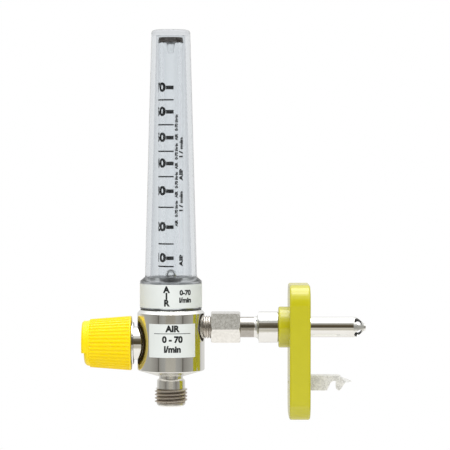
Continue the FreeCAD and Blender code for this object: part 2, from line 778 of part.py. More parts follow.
# Hexagonal coupling: milled hexagon, turned neck and a threaded tail
hex_coupling = new_body("hex_coupling")
hexagon = hex_coupling.newObject("PartDesign::AdditivePrism", "Hexagon")
hexagon.Polygon = 6
bind(hexagon, "Circumradius", "hex_corner")
bind(hexagon, "Height", "hex_length")
bind(hexagon, ".Placement.Rotation.Angle", "hex_turn")
hex_coupling.Tip = hexagon
spun(hex_coupling, "Revolution", "Neck", [
    ("0", "hex_length / 2"),
    ("neck_radius", "hex_length / 2"),
    ("neck_radius", "hex_length + neck_length"),
    ("coupling_tail_radius", "hex_length + neck_length"),
    ("coupling_tail_radius", "tail_end"),
    ("0", "tail_end"),
])
spun(hex_coupling, "Groove", "NearCorners", [
    ("hex_corner + hex_chamfer", "-hex_chamfer"),
    ("hex_corner + hex_chamfer", "hex_chamfer"),
    ("hex_corner", "hex_chamfer"),
    ("hex_corner - 3 * hex_chamfer", "-hex_chamfer / 2"),
])
spun(hex_coupling, "Groove", "FarCorners", [
    ("hex_corner + hex_chamfer", "hex_length + hex_chamfer"),
    ("hex_corner + hex_chamfer", "hex_length - hex_chamfer"),
    ("hex_corner", "hex_length - hex_chamfer"),
    ("hex_corner - 3 * hex_chamfer", "hex_length + hex_chamfer / 2"),
])
drill(hex_coupling, "PipeThread", "XY_Plane", "0", "nipple_grip",
      "nipple_radius + fit_gap", forwards=True)
drill(hex_coupling, "GasBore", "XY_Plane", "nipple_grip", "tail_end - nipple_grip",
      "gas_bore", forwards=True)
put(hex_coupling, x="-hex_far", turn=RIGHTWARDS)

# Adapter body: shoulder against the boss, flared to the neck, spigot through the plate
adapter_body = turned("adapter_body", [
    ("coupling_tail_radius + fit_gap", "0"),
    ("neck_radius", "0"),
    ("neck_radius", "flare_start"),
    ("shoulder_radius", "flare_start"),
    ("shoulder_radius", "shoulder_length - shoulder_chamfer"),
    ("shoulder_radius - shoulder_chamfer", "shoulder_length"),
    ("spigot_radius", "shoulder_length"),
    ("spigot_radius", "spigot_end"),
    ("tail_radius + probe_ring_section + 2 * fit_gap", "spigot_end"),
    ("tail_radius + probe_ring_section + 2 * fit_gap", "spigot_end - ring_gland"),
    ("tail_radius + fit_gap", "spigot_end - ring_gland"),
    ("tail_radius + fit_gap", "probe_hole_floor"),
    ("gas_bore", "probe_hole_floor"),
    ("gas_bore", "coupling_tail_length + rest_gap"),
    ("coupling_tail_radius + fit_gap", "coupling_tail_length + rest_gap"),
])


def flare_corner(shape):
    """The inside corner where the neck's sleeve meets the shoulder."""
    return [edge for edge in shape.Edges if isinstance(edge.Curve, Part.Circle)
            and abs(edge.Curve.Center.z - sheet.flare_start) < FLAT
            and abs(edge.Curve.Radius - sheet.neck_radius) < FLAT]


round_edges(adapter_body, "Flare", "flare_radius", flare_corner)
put(adapter_body, x="-joint_face", turn=RIGHTWARDS)

# Adapter plate: moulded in one with its boss
adapter_plate = new_body("adapter_plate")
plate_sketch = new_sketch(adapter_plate, "PlateSketch", "YZ_Plane")
draw_outline(plate_sketch, box_outline("-plate_width / 2", "plate_width / 2",
                                       "-plate_below", "plate_above"))
plate_pad = adapter_plate.newObject("PartDesign::Pad", "Plate")
plate_pad.Profile = plate_sketch
plate_pad.Reversed = True
bind(plate_pad, "Length", "plate_depth")
adapter_plate.Tip = plate_pad
round_edges(adapter_plate, "Corners", "plate_corner",
            lambda shape: [edge for edge in shape.Edges if edge.BoundBox.XLength > FLAT])
round_edges(adapter_plate, "FaceRounding", "plate_rounding",
            lambda shape: [edge for edge in shape.Edges if edge.BoundBox.XLength < FLAT])
boss_sketch = new_sketch(adapter_plate, "BossSketch", "YZ_Plane", "-plate_depth")
draw_circle(boss_sketch, "boss_radius")
boss = adapter_plate.newObject("PartDesign::Pad", "Boss")
boss.Profile = boss_sketch
boss.Reversed = True
bind(boss, "Length", "boss_length")
adapter_plate.Tip = boss
round_edges(adapter_plate, "BossRounding", "boss_rounding",
            lambda shape: [min(shape.Edges, key=lambda edge: edge.CenterOfMass.x)])
drill(adapter_plate, "SpigotHole", "YZ_Plane", "-boss_face", "boss_face",
      "spigot_radius + fit_gap", forwards=True)
drill(adapter_plate, "FlangeSeat", "YZ_Plane", "0", "flange_depth", "flange_radius + fit_gap")
cut_in(adapter_plate, "HookPocket", "YZ_Plane", "0", "tang_depth",
       lambda sketch: draw_outline(sketch, box_outline(
           "-hook_thickness / 2 - fit_gap", "hook_thickness / 2 + fit_gap",
           "-(hook_drop + hook_height) - fit_gap", "-hook_drop + fit_gap")))
drill(adapter_plate, "ScrewHole", "YZ_Plane", "-plate_depth", "plate_depth",
      "screw_radius + fit_gap", up="hook_middle", forwards=True)
countersink = adapter_plate.newObject("PartDesign::SubtractiveCone", "Countersink")
bind(countersink, "Radius1", "screw_head_radius + fit_gap")
bind(countersink, "Radius2", "screw_radius + fit_gap")
bind(countersink, "Height", "screw_head_depth")
countersink.Placement = Placement(Vector(0, 0, 0), RIGHTWARDS)
bind(countersink, ".Placement.Base.x", "-plate_depth")
bind(countersink, ".Placement.Base.z", "hook_middle")
adapter_plate.Tip = countersink

# Probe: flange in the plate, tail screwed into the adapter body, ported nose
probe = turned("probe", [
    ("probe_bore", "-(flange_depth + tail_length)"),
    ("tail_radius", "-(flange_depth + tail_length)"),
    ("tail_radius", "-flange_depth"),
    ("flange_radius", "-flange_depth"),
    ("flange_radius", "0"),
    ("probe_radius", "0"),
    ("probe_radius", "probe_straight"),
    ("nose_shoulder_radius", "shoulder_end"),
    ("nose_slope_radius", "slope_end"),
    ("nose_end_radius", "nose_face"),
    ("nose_tip_radius", "probe_tip"),
    ("0", "probe_tip"),
    ("0", "port_centre + port_radius / 2"),
    ("probe_bore", "port_centre + port_radius / 2"),
])
for plane in ("XZ_Plane", "YZ_Plane"):
    drill(probe, "Ports" + plane[:2], plane, "-probe_radius", "2 * probe_radius",
          "port_radius", up="port_centre", forwards=True)
put(probe, turn=RIGHTWARDS.multiply(EIGHTH_TURN))
probe_o_ring = torus("probe_o_ring", "tail_radius + fit_gap + probe_ring_section / 2",
                     "probe_ring_section / 2")
put(probe_o_ring, x="-(flange_depth + rest_gap + probe_ring_section / 2)", turn=RIGHTWARDS)

# Latch hook: a steel plate on edge, with a barbed notch, screwed on from behind. Its nose
# is ground to a wedge by two bevels, which lean about level lines that run this much
# further along the hook than across it.
BEVEL_RUN = 1.4
latch_hook = new_body("latch_hook")
hook_sketch = new_sketch(latch_hook, "HookSketch", "XZ_Plane")
draw_outline(hook_sketch, [
    ("-tang_depth", "hook_foot"),
    ("notch_start", "hook_foot"),
    ("notch_start + notch_lean", "-(hook_drop + notch_cheek)"),
    ("notch_start + notch_crook", "-(hook_drop + notch_roof)"),
    ("notch_start + notch_peak", "-(hook_drop + notch_roof)"),
    ("notch_start + barb_back", "-(hook_drop + barb_cheek)"),
    ("notch_start + barb_back", "hook_foot + barb_heel"),
    ("notch_start + barb_point", "hook_foot"),
    ("barb_end", "hook_foot"),
    ("barb_end + barb_lean", "hook_foot + barb_rise + barb_nose_rise"),
    ("hook_length", "hook_foot + barb_rise + barb_nose_rise"),
    ("hook_length - hook_nose_back", "-(hook_drop + hook_nose_drop)"),
    ("hook_length - hook_crown", "-(hook_drop + hook_crown_drop)"),
    ("hook_length - hook_brow", "-hook_drop"),
    ("-tang_depth", "-hook_drop"),
])
hook_pad = latch_hook.newObject("PartDesign::Pad", "Blank")
hook_pad.Profile = hook_sketch
hook_pad.Midplane = True
bind(hook_pad, "Length", "hook_thickness")
for side in (-1, 1):
    bevel = latch_hook.newObject("PartDesign::SubtractiveCylinder", "NoseBevel")
    bind(bevel, "Radius", "nose_bevel_reach")
    bind(bevel, "Height", "nose_bevel_reach")
    bevel.Placement = Placement(Vector(0, 0, 0), Rotation(Vector(-BEVEL_RUN * side, 1, 0), 1))
    bind(bevel, ".Placement.Rotation.Angle", "nose_bevel_lean")
    bind(bevel, ".Placement.Base.x", "hook_length")
    bind(bevel, ".Placement.Base.y", f"{side} * nose_edge / 2")
    bind(bevel, ".Placement.Base.z", "-(hook_drop + nose_bevel_drop)")
latch_hook.Tip = bevel
drill(latch_hook, "ScrewHole", "YZ_Plane", "-tang_depth", "screw_grip + rest_gap",
      "screw_radius + fit_gap", up="hook_middle", forwards=True)

hook_screw = turned("hook_screw", [
    ("0", "0"),
    ("screw_head_radius", "0"),
    ("screw_radius", "screw_head_depth"),
    ("screw_radius", "plate_depth - tang_depth + screw_grip"),
    ("0", "plate_depth - tang_depth + screw_grip"),
])
cut_in(hook_screw, "Slot", "XY_Plane", "0", "screw_slot_depth",
       lambda sketch: draw_outline(sketch, box_outline(
           "-screw_slot / 2", "screw_slot / 2", "-screw_head_radius", "screw_head_radius")),
       forwards=True)
put(hook_screw, x="-plate_depth", z="hook_middle", turn=RIGHTWARDS)

# Every object is sound before anything is written
doc.recompute()
broken = [item.Label for item in doc.Objects if {"Invalid", "Error"} & set(item.State)]
if broken:
    raise RuntimeError("failed objects: " + ", ".join(broken))
pieces = [item for item in doc.Objects
          if item.TypeId in ("PartDesign::Body", "Part::Torus", "Part::Sphere", "Part::Cylinder")]
for piece in pieces:
    if piece.Shape.isNull() or not piece.Shape.isValid() or len(piece.Shape.Solids) != 1:
        raise RuntimeError("unsound piece: " + piece.Label)
for piece in pieces:
    piece.Shape.exportStep(f"parts/{piece.Label}.step")
    print("18s")
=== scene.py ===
import math

import bmesh
import bpy
from mathutils import Matrix, Vector


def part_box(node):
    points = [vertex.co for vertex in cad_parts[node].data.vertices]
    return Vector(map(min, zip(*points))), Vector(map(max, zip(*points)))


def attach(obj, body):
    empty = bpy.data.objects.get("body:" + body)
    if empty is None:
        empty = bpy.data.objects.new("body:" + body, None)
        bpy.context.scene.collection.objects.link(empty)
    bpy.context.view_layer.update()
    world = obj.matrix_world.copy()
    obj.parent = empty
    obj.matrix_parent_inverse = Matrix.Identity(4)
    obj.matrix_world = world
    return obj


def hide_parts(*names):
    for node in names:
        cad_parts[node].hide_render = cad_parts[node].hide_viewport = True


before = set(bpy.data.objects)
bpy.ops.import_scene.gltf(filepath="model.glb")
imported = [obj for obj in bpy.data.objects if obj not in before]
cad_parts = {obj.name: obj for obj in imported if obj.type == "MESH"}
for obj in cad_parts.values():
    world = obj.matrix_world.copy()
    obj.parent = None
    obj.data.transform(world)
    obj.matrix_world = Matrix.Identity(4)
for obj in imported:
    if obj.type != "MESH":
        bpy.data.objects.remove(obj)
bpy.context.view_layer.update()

# Camera: a long lens in front of the meter, level with its clear tube and tipped
# down a little, so that the top of every round part shows as a thin ellipse.
view = bpy.data.cameras.new("view")
view.sensor_width = 36
view.lens = 162.3
view.clip_start = 0.05
view.clip_end = 30
camera = bpy.data.objects.new("camera", view)
bpy.context.collection.objects.link(camera)
eye = Vector((-0.0367, -0.880, 0.0713))
target = Vector((-0.03666, 0, 0.04435))
camera.matrix_world = Matrix.LocRotScale(eye, (target - eye).to_track_quat("-Z", "Y"), None)
bpy.context.scene.camera = camera
bpy.context.scene.view_settings.view_transform = "Standard"


# Studio: white paper behind, a broad light overhead, grey walls at the sides and a
# dark strip at eye level, which is what the polished metal mirrors.
class Wire:
    """A socket in a node tree. Signs between wires and numbers add Math nodes."""

    def __init__(self, tree, socket=None):
        self.tree = tree
        self.socket = socket

    def node(self, kind, settings, inputs, output=0):
        """Adds a node: its settings first, then each socket's number, colour or wire."""
        added = self.tree.nodes.new(kind)
        for name, value in settings.items():
            if name != "stops":
                setattr(added, name, value)
                continue
            while len(added.color_ramp.elements) < len(value):
                added.color_ramp.elements.new(1)
            for element, (place, colour) in zip(added.color_ramp.elements, value):
                element.position = place
                element.color = (*colour, 1)
        for name, value in inputs.items():
            if isinstance(value, Wire):
                self.tree.links.new(value.socket, added.inputs[name])
            else:
                added.inputs[name].default_value = value
        return Wire(self.tree, added.outputs[output] if len(added.outputs) else None)

    def maths(self, operation, *values):
        return self.node("ShaderNodeMath", {"operation": operation}, dict(enumerate(values)))

    def ramp(self, *stops):
        """Turns this value into a colour along a ramp."""
        return self.node("ShaderNodeValToRGB", {"stops": stops}, {"Fac": self})

    def rises(self, start, end):
        """0 below start and 1 above end."""
        return self.node("ShaderNodeMapRange", {"interpolation_type": "SMOOTHSTEP"},
                         {"Value": self, "From Min": start, "From Max": end})

    def mixes(self, colour, other):
        """colour where this value is 0 and other where it is 1."""
        return self.node("ShaderNodeMix", {"data_type": "RGBA"},
                         {0: self, 6: colour, 7: other}, output=2)

    def __add__(self, other):
        return self.maths("ADD", self, other)

    def __sub__(self, other):
        return self.maths("SUBTRACT", self, other)

    def __rsub__(self, other):
        return self.maths("SUBTRACT", other, self)

    def __mul__(self, other):
        return self.maths("MULTIPLY", self, other)

    __radd__ = __add__
    __rmul__ = __mul__


def height(degrees):
    """Place on a ramp that runs from straight down to straight up."""
    return (math.sin(math.radians(degrees)) + 1) / 2


studio = bpy.data.worlds.new("studio")
bpy.context.scene.world = studio
studio.use_nodes = True
studio.node_tree.nodes.clear()
air = Wire(studio.node_tree)
towards = air.node("ShaderNodeTexCoord", {}, {}, "Generated")
across = air.node("ShaderNodeSeparateXYZ", {}, {"Vector": towards}, "X")
away = air.node("ShaderNodeSeparateXYZ", {}, {"Vector": towards}, "Y")
up = air.node("ShaderNodeSeparateXYZ", {}, {"Vector": towards}, "Z")
rise = (up + 1) * 0.5
bearing = air.maths("ARCTAN2", across, away * -1)
sideways = air.maths("ABSOLUTE", bearing) * (1 / math.pi)
in_front = rise.ramp(
    (height(-90), (0.84, 0.82, 0.77)), (height(-39), (0.82, 0.79, 0.72)),
    (height(-31), (0.72, 0.69, 0.61)), (height(-23), (0.52, 0.49, 0.41)),
    (height(-15), (0.60, 0.56, 0.48)), (height(-7), (0.62, 0.60, 0.54)),
    (height(-5.5), (0.55, 0.53, 0.47)), (height(-4.4), (0.22, 0.20, 0.16)),
    (height(-2), (0.09, 0.07, 0.04)), (height(4), (0.075, 0.06, 0.034)),
    (height(14), (0.08, 0.065, 0.04)), (height(25), (0.14, 0.12, 0.085)),
    (height(34), (0.22, 0.20, 0.16)), (height(38), (0.40, 0.38, 0.33)),
    (height(41), (0.85, 0.85, 0.82)), (height(44), (0.85, 0.85, 0.82)),
    (height(46), (0.35, 0.34, 0.31)), (height(50), (0.35, 0.34, 0.31)),
    (height(54), (1.3, 1.3, 1.28)), (height(62), (1.5, 1.5, 1.5)),
    (height(70), (4, 4, 4)), (height(90), (4, 4, 4)))
at_sides = rise.ramp(
    (height(-90), (0.84, 0.82, 0.77)), (height(-35), (0.80, 0.78, 0.73)),
    (height(-12), (0.42, 0.41, 0.39)), (height(12), (0.40, 0.40, 0.39)),
    (height(30), (0.7, 0.7, 0.69)), (height(42), (1.4, 1.4, 1.4)),
    (height(62), (1.5, 1.5, 1.5)), (height(70), (4, 4, 4)), (height(90), (4, 4, 4)))
round_about = sideways.ramp(
    (0.1, (0.9, 0.9, 0.88)), (0.18, (0.78, 0.78, 0.76)), (0.22, (0.66, 0.64, 0.6)),
    (0.23, (0.25, 0.24, 0.22)), (0.238, (0.25, 0.24, 0.22)), (0.25, (0.6, 0.58, 0.55)),
    (0.3, (0.72, 0.7, 0.67)), (0.42, (0.95, 0.95, 0.9)), (0.6, (1, 1, 1)))
behind = rise.ramp(
    (height(-90), (0.84, 0.82, 0.77)), (height(-35), (0.78, 0.76, 0.71)),
    (height(0), (0.72, 0.71, 0.69)), (height(30), (0.85, 0.85, 0.84)),
    (height(60), (1.5, 1.5, 1.5)), (height(70), (4, 4, 4)), (height(90), (4, 4, 4)))
walls = air.node("ShaderNodeMix", {"data_type": "RGBA", "blend_type": "MULTIPLY"}, {
    0: 1.0, 6: at_sides, 7: round_about}, output=2)
mirrored = sideways.rises(0.07, 0.12).mixes(in_front, walls)
mirrored = sideways.rises(0.6, 0.76).mixes(mirrored, behind)
through = air.maths("ABSOLUTE", up).rises(0.35, 0.75).mixes((1, 1, 1, 1), (0.62, 0.62, 0.61, 1))
window = (1 - sideways.rises(0.22, 0.32)) * up.rises(-0.45, -0.3)
window = window.mixes((0.2, 0.2, 0.2, 1), (1.3, 1.3, 1.3, 1))
through = (away * -1).rises(0.05, 0.3).mixes(through, window)
shade = 1.25 - air.maths("MULTIPLY", across, across)
sky = rise.ramp((0, (1.1, 1.08, 1.05)), (0.36, (1.1, 1.08, 1.05)), (0.5, (0.74, 0.74, 0.74)),
                (0.8, (1.15, 1.15, 1.15)), (1, (1.6, 1.6, 1.6)))
lit = air.node("ShaderNodeMix", {"data_type": "RGBA", "blend_type": "MULTIPLY"}, {
    0: 1.0, 6: sky, 7: shade}, output=2)
ray = {name: air.node("ShaderNodeLightPath", {}, {}, name)
       for name in ("Is Camera Ray", "Is Glossy Ray", "Is Transmission Ray")}
seen = ray["Is Glossy Ray"].mixes(lit, mirrored)
seen = ray["Is Transmission Ray"].mixes(seen, through)
seen = ray["Is Camera Ray"].mixes(seen, (1, 1, 1, 1))
air.node("ShaderNodeOutputWorld", {}, {
    "Surface": air.node("ShaderNodeBackground", {}, {"Color": seen, "Strength": 1.0})})

key = bpy.data.lights.new("key", "AREA")
key.size = 0.7
key.energy = 3.0
lamp = bpy.data.objects.new("key", key)
bpy.context.collection.objects.link(lamp)
above = Vector((-0.15, -0.8, 0.95))
lamp.matrix_world = Matrix.LocRotScale(above, (target - above).to_track_quat("-Z", "Y"), None)
lamp.visible_glossy = False
lamp.visible_transmission = False


# Floor: a round pale paper board well below the meter, which hangs on a wall in use. It
# looks white to the camera and through the clear tubes, and keeps the meter's shadow.
def new_mesh(name, shape, material):
    """Makes a finished shape into an object whose place is in its mesh."""
    mesh = bpy.data.meshes.new(name)
    shape.to_mesh(mesh)
    shape.free()
    mesh.materials.append(material)
    mesh.shade_smooth()
    mesh.set_sharp_from_angle(angle=math.radians(28))
    piece = bpy.data.objects.new(name, mesh)
    bpy.context.collection.objects.link(piece)
    return piece


def new_finish(name):
    """A material and the start of its node tree."""
    material = bpy.data.materials.new(name)
    material.use_nodes = True
    material.node_tree.nodes.clear()
    return material, Wire(material.node_tree)


def ends_in(paint, inputs):
    """Closes a material with one Principled shader."""
    surface = paint.node("ShaderNodeBsdfPrincipled", {}, inputs)
    paint.node("ShaderNodeOutputMaterial", {}, {"Surface": surface})


paper, paint = new_finish("floor_paper")
grain = paint.node("ShaderNodeTexNoise", {}, {
    "Vector": paint.node("ShaderNodeTexCoord", {}, {}, "Object"), "Scale": 40, "Detail": 4})
board = paint.node("ShaderNodeBsdfPrincipled", {}, {
    "Base Color": grain.ramp((0.3, (0.69, 0.67, 0.64)), (0.7, (0.72, 0.70, 0.67))),
    "Roughness": 0.9})
looked_at = (paint.node("ShaderNodeLightPath", {}, {}, "Is Camera Ray")
             + paint.node("ShaderNodeLightPath", {}, {}, "Is Transmission Ray"))
glow = paint.node("ShaderNodeEmission", {}, {"Color": (1, 1, 1, 1), "Strength": 1.0})
paint.node("ShaderNodeOutputMaterial", {}, {"Surface": paint.node(
    "ShaderNodeMixShader", {}, {0: looked_at * 0.5, 1: board, 2: glow})})
floor_radius = 0.42
floor_centre = (-0.037, 0, -0.30)
shape = bmesh.new()
bmesh.ops.create_circle(shape, cap_ends=True, segments=128, radius=floor_radius,
                        matrix=Matrix.Translation(floor_centre))
floor = new_mesh("floor", shape, paper)


# Meter body: a bar of brass turned to shape, drilled for the gas and chromed. The lathe's
# fine lines run round it and spread what it mirrors upwards.
def dress(material, *names):
    """Gives nodes from the frame their finish."""
    for name in names:
        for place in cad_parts[name].material_slots:
            place.material = material


def plated(name, tone, low, high, wear=0.0, brushed=0.0):
    """Chrome plate with a faintly cloudy polish.

    wear adds a fine mottled grain, and brushed spreads what the plate mirrors across the
    lines that a lathe tool leaves."""
    material, paint = new_finish(name)
    place = paint.node("ShaderNodeTexCoord", {}, {}, "Object")
    cloudy = paint.node("ShaderNodeTexNoise", {}, {"Vector": place, "Scale": 90, "Detail": 3})
    grain = paint.node("ShaderNodeTexNoise", {}, {"Vector": place, "Scale": 900, "Detail": 3})
    ends_in(paint, {
        "Base Color": (cloudy + wear * (grain - 0.5)).ramp(
            (0.3, [c * 0.95 for c in tone]), (0.7, tone)),
        "Metallic": 1.0,
        "Roughness": low + (high - low) * cloudy.rises(0.35, 0.65),
        "Anisotropic": brushed,
        "Anisotropic Rotation": 0.25,
        "Normal": paint.node("ShaderNodeBump", {}, {
            "Height": grain, "Strength": 0.01 + 0.3 * wear, "Distance": 0.0001}),
    })
    return material


body_chrome = plated("body_chrome", (0.90, 0.90, 0.88), 0.09, 0.11, brushed=0.8)
dress(body_chrome, "valve_body")

# Bonnet: a chromed gland of turned brass, screwed into the body from the left. The face of
# its ring that looks at the body, outside the gland itself, is painted dark brown as painted
# shade.
valve_level = -0.0070
ring_face = -0.07633
gland_radius = 0.00725
valve_chrome, paint = new_finish("valve_chrome")
place = paint.node("ShaderNodeTexCoord", {}, {}, "Object")
cloudy = paint.node("ShaderNodeTexNoise", {}, {"Vector": place, "Scale": 200, "Detail": 3})
along = paint.node("ShaderNodeSeparateXYZ", {}, {"Vector": place}, "X")
deep = paint.node("ShaderNodeSeparateXYZ", {}, {"Vector": place}, "Y")
level = paint.node("ShaderNodeSeparateXYZ", {}, {"Vector": place}, "Z") - valve_level
off_axis = paint.maths("SQRT", deep * deep + level * level)
# Painted shade: the ring's face towards the body, outside the gland, is painted dark brown.
painted_shade = (along.rises(ring_face - 0.00004, ring_face - 0.00002)
         * off_axis.rises(gland_radius - 0.00003, gland_radius + 0.00003))
chrome_tone = cloudy.ramp((0.3, (0.84, 0.84, 0.82)), (0.7, (0.88, 0.88, 0.86)))
painted_shade_tone = cloudy.ramp((0.3, (0.045, 0.027, 0.005)), (0.7, (0.060, 0.038, 0.008)))
ends_in(paint, {
    "Base Color": painted_shade.mixes(chrome_tone, painted_shade_tone),
    "Metallic": 1 - painted_shade,
    "Roughness": 0.06 + 0.04 * cloudy + 0.4 * painted_shade,
    "Specular IOR Level": 0.1,
})
dress(valve_chrome, "bonnet")

# Shoulder piece: turned from brass bar, chromed bright and screwed into the coupling's
# neck. Its shoulder stands against the boss of the wall plate.
dress(plated("fitting_chrome", (0.90, 0.90, 0.88), 0.10, 0.14), "adapter_body")

# Coupling: hexagonal brass bar with a turned neck, plated in a barrel, which mottles the
# hexagon. The neck is darker and rougher, and the end face towards the body is painted dark
# brown as painted shade.
neck_start = -0.0301
coupling_chrome, paint = new_finish("coupling_chrome")
place = paint.node("ShaderNodeTexCoord", {}, {}, "Object")
along = paint.node("ShaderNodeSeparateXYZ", {}, {"Vector": place}, "X")
neck = along.rises(neck_start - 0.0001, neck_start + 0.0001)
end_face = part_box("hex_coupling")[0][0]
# Painted shade: the end face towards the body is painted dark brown.
painted_shade = 1 - along.rises(end_face + 0.00002, end_face + 0.00004)
grain = paint.node("ShaderNodeTexNoise", {}, {"Vector": place, "Scale": 1000, "Detail": 3})
mottled = grain.ramp((0.3, (0.78, 0.77, 0.74)), (0.7, (0.95, 0.94, 0.91)))
dull = grain.ramp((0.3, (0.43, 0.41, 0.38)), (0.7, (0.49, 0.47, 0.44)))
ends_in(paint, {
    "Base Color": painted_shade.mixes(neck.mixes(mottled, dull), (0.055, 0.040, 0.028, 1)),
    "Metallic": 1 - painted_shade,
    "Roughness": 0.1 + 0.06 * grain + 0.08 * neck + 0.4 * painted_shade,
    "Specular IOR Level": 0.1,
    "Normal": paint.node("ShaderNodeBump", {}, {
        "Height": grain, "Strength": 0.25, "Distance": 0.0001}),
})
dress(coupling_chrome, "hex_coupling")

# Probe: a bright chromed brass tube with a pointed nose, screwed into the shoulder piece
# through the wall plate. Its four drilled ports and its bore are painted near black inside as
# painted shade.
nose_from = 0.0180
nose_length = 0.0064
widest = 0.005
ports_end = 0.0229
probe_chrome, paint = new_finish("probe_chrome")
place = paint.node("ShaderNodeTexCoord", {}, {}, "Object")
cloudy = paint.node("ShaderNodeTexNoise", {}, {"Vector": place, "Scale": 90, "Detail": 3})
along = paint.node("ShaderNodeSeparateXYZ", {}, {"Vector": place}, "X")
deep = paint.node("ShaderNodeSeparateXYZ", {}, {"Vector": place}, "Y")
level = paint.node("ShaderNodeSeparateXYZ", {}, {"Vector": place}, "Z")
off_axis = paint.maths("SQRT", deep * deep + level * level)
outside = widest * ((along - nose_from) * (1 / nose_length)).ramp(
    (0.156, [0.886] * 3), (0.406, [0.84] * 3), (0.719, [0.52] * 3), (0.875, [0.34] * 3))
# Painted shade: the ports and the bore behind them are painted near black.
painted_port_shade = ((outside - off_axis).rises(0.0003, 0.0010)
          * (1 - along.rises(ports_end - 0.0001, ports_end + 0.0001)))
ends_in(paint, {
    "Base Color": painted_port_shade.mixes(cloudy.ramp((0.3, (0.84, 0.84, 0.82)), (0.7, (0.88, 0.88, 0.86))),
                               (0.03, 0.03, 0.028, 1)),
    "Metallic": 1 - painted_port_shade,
    "Roughness": 0.03 + 0.04 * cloudy + 0.4 * painted_port_shade,
})
dress(probe_chrome, "probe")


# Outlet: a chromed brass stub screwed into the foot of the body against a washer. Its
# thread is cut on a lathe, from a plain end up to a plain shank, and is worn by use.
def turned(profile):
    """Turns an outline, given as radius and height, round the upright axis."""
    shape = bmesh.new()
    corners = [shape.verts.new((radius, 0, level)) for radius, level in profile]
    sides = [shape.edges.new(pair) for pair in zip(corners, corners[1:] + corners[:1])]
    bmesh.ops.spin(shape, geom=corners + sides, cent=(0, 0, 0), axis=(0, 0, 1),
                   angle=math.tau, steps=96, use_merge=True)
    bmesh.ops.remove_doubles(shape, verts=shape.verts, dist=1e-7)
    bmesh.ops.recalc_face_normals(shape, faces=shape.faces)
    return shape


def cut_thread(bar, root, crest, pitch, start, foot, top):
    """Winds one tooth up round a bar from a starting height and trims it at foot and top."""
    thread = bmesh.new()
    tooth = [thread.verts.new((radius, 0, start + share * pitch))
             for radius, share in ((root, 0), (crest, 0.4), (crest, 0.6), (root, 1))]
    flanks = [thread.edges.new(pair) for pair in zip(tooth, tooth[1:])]
    turns = math.ceil((top - start) / pitch) + 1
    bmesh.ops.spin(thread, geom=tooth + flanks, cent=(0, 0, 0), axis=(0, 0, 1),
                   angle=math.tau * turns, dvec=(0, 0, pitch / 64), steps=64 * turns)
    bmesh.ops.remove_doubles(thread, verts=thread.verts, dist=1e-7)
    for level, side in ((foot, -1), (top, 1)):
        bmesh.ops.bisect_plane(thread, geom=thread.verts[:] + thread.edges[:] + thread.faces[:],
                               dist=1e-8, plane_co=(0, 0, level), plane_no=(0, 0, side),
                               clear_outer=True)
    ends = [edge for edge in thread.edges if edge.is_boundary]
    inward = bmesh.ops.extrude_edge_only(thread, edges=ends)["geom"]
    sunk = [part for part in inward if isinstance(part, bmesh.types.BMVert)]
    bmesh.ops.scale(thread, vec=(0.82, 0.82, 1), verts=sunk)
    bmesh.ops.bridge_loops(thread, edges=[edge for edge in thread.edges if edge.is_boundary])
    bmesh.ops.recalc_face_normals(thread, faces=thread.faces)
    wound = bpy.data.meshes.new("wound")
    thread.to_mesh(wound)
    thread.free()
    bar.from_mesh(wound)


lowest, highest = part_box("outlet_connector")
meter_axis = (lowest[0] + highest[0]) / 2
top, foot = highest[2], lowest[2]
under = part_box("valve_body")[0][2]
gas_hole, stud, neck_radius, shank, socket = 0.0020, 0.0046, 0.0052, 0.0061, 0.0039
socket_end = foot + 0.0066
thread_top, thread_foot = -0.0267, -0.0325
bar = turned([
    (gas_hole, top), (stud, top), (stud, under), (neck_radius, under),
    (neck_radius, under - 0.0013), (0.0059, under - 0.0019), (shank, under - 0.0022),
    (shank, thread_top + 0.0001), (0.0057, thread_top - 0.0002), (0.0057, thread_foot + 0.0001),
    (0.0062, thread_foot - 0.0002), (0.0062, foot + 0.0006), (0.0055, foot),
    (0.0043, foot), (socket, foot + 0.0004), (socket, socket_end), (gas_hole, socket_end)])
cut_thread(bar, root=0.0059, crest=0.00705, pitch=0.00148, start=-0.0338,
           foot=thread_foot, top=thread_top)
bmesh.ops.translate(bar, vec=(meter_axis, 0, 0), verts=bar.verts)
threaded, paint = new_finish("threaded_chrome")
place = paint.node("ShaderNodeTexCoord", {}, {}, "Object")
level = paint.node("ShaderNodeSeparateXYZ", {}, {"Vector": place}, "Z")
worn = (level.rises(thread_top + 0.0005, thread_top - 0.0005)
        * level.rises(thread_foot - 0.0009, thread_foot - 0.0003))
grain = paint.node("ShaderNodeTexNoise", {}, {"Vector": place, "Scale": 700, "Detail": 4})
ends_in(paint, {
    "Base Color": (worn * (0.8 + 0.4 * grain)).ramp(
        (0, (0.84, 0.83, 0.80)), (1, (0.66, 0.61, 0.55))),
    "Metallic": 1.0,
    "Roughness": 0.12 + worn * 0.30 + 0.08 * grain,
    "Normal": paint.node("ShaderNodeBump", {}, {
        "Height": grain, "Strength": 0.05, "Distance": 0.0002}),
})
outlet = new_mesh("outlet_threaded", bar, threaded)
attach(outlet, "meter")
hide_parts("outlet_connector")

